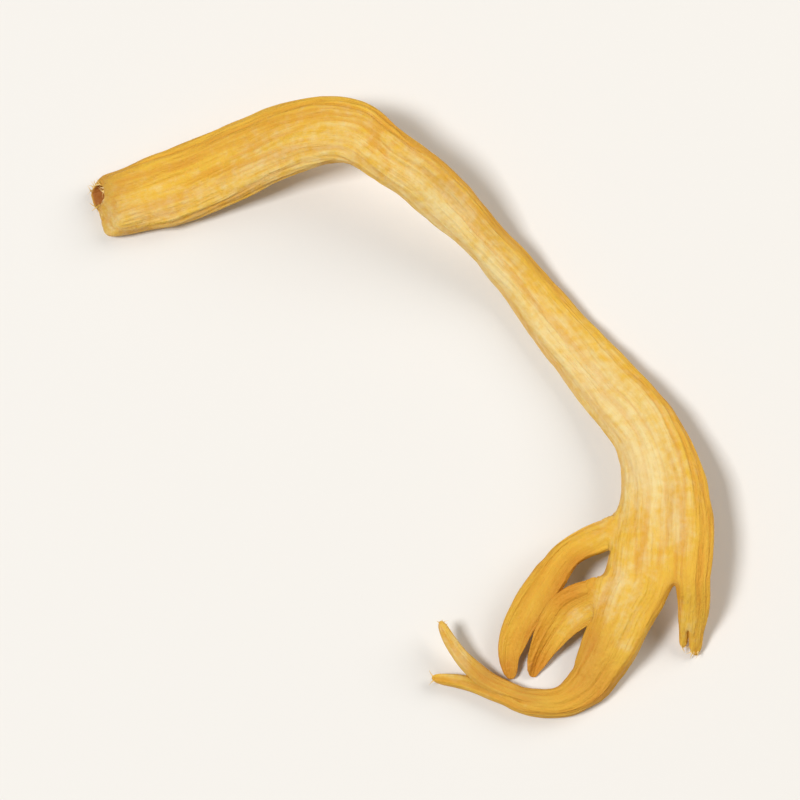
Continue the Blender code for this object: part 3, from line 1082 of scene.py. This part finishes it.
FLOOR_SIZE, FLOOR_DROP = 1.2, 0.00002  # just under the skin, so that the two don't flicker
FLOOR_COLOUR, FLOOR_ROUGHNESS = (0.80, 0.79, 0.77, 1), 0.85
WORLD_COLOUR, WORLD_STRENGTH = (1, 0.93, 0.82, 1), 0.22
WHITE, WARM_WHITE = (1, 1, 1), (1, 0.96, 0.9)
CAMERA_ELEVATION, CAMERA_DISTANCE = 75, 0.275
CAMERA_LENS, CAMERA_SENSOR = 200, 36  # millimetres


def add_floor():
    """A plain, matt, pale floor."""
    bpy.ops.object.select_all(action="DESELECT")
    bpy.ops.mesh.primitive_plane_add(size=FLOOR_SIZE, location=(0, 0, -FLOOR_DROP))
    floor = bpy.context.object
    floor.name = "floor"
    bpy.ops.object.transform_apply(location=True, rotation=True, scale=True)
    made, _, shader = new_material("floor")
    shader.inputs["Base Color"].default_value = FLOOR_COLOUR
    shader.inputs["Roughness"].default_value = FLOOR_ROUGHNESS
    floor.data.materials.append(made)


def look_back(azimuth, elevation):
    """The way back from the middle. Azimuth 0 is on the camera's side and 90 on the right."""
    a, e = math.radians(azimuth), math.radians(elevation)
    return Vector((math.sin(a) * math.cos(e), -math.cos(a) * math.cos(e), math.sin(e)))


def add_light(name, azimuth, elevation, distance, size, energy, colour):
    """A soft square light that looks at the middle."""
    back = look_back(azimuth, elevation)
    light = bpy.data.lights.new(name, "AREA")
    light.size, light.energy, light.color = size, energy, colour
    lamp = bpy.data.objects.new(name, light)
    lamp.location = back * distance
    lamp.rotation_euler = back.to_track_quat("Z", "Y").to_euler()
    bpy.context.collection.objects.link(lamp)


def add_studio():
    """A faint warm light from all over, a key light from the upper left and a weaker fill light."""
    world = bpy.data.worlds.new("studio")
    world.use_nodes = True
    world.node_tree.nodes["Background"].inputs["Color"].default_value = WORLD_COLOUR
    world.node_tree.nodes["Background"].inputs["Strength"].default_value = WORLD_STRENGTH
    bpy.context.scene.world = world
    add_light("key", azimuth=290, elevation=60, distance=0.8, size=0.21, energy=4.9, colour=WHITE)
    add_light(
        "fill", azimuth=120, elevation=38, distance=0.5, size=0.35, energy=1.35, colour=WARM_WHITE
    )


def add_camera():
    """A camera that looks down on the middle of the fruiting body."""
    camera = bpy.data.cameras.new("camera")
    camera.lens, camera.sensor_width = CAMERA_LENS, CAMERA_SENSOR
    camera.clip_start, camera.clip_end = 0.01, 10
    holder = bpy.data.objects.new("camera", camera)
    back = look_back(0, CAMERA_ELEVATION)
    holder.location = (Vector(cad_low) + Vector(cad_high)) / 2 + back * CAMERA_DISTANCE
    holder.rotation_euler = back.to_track_quat("Z", "Y").to_euler()
    bpy.context.collection.objects.link(holder)
    bpy.context.scene.camera = holder


skin, lobe_tips = add_skin()
mark_skin(skin)
finish_skin(skin)
skin.data.materials.append(skin_material())
draw = random.Random(SEED)
fibres = add_fibres(fibre_roots(skin, lobe_tips, draw), draw)
fibres.data.materials.append(fibre_material())
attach(fibres, "root")
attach(skin, "root")
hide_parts("stalk", "right_prong", "broad_lobe", "upper_side_lobe", "inner_side_lobe")

add_floor()
add_studio()
add_camera()
bpy.context.scene.view_settings.view_transform = "Standard"
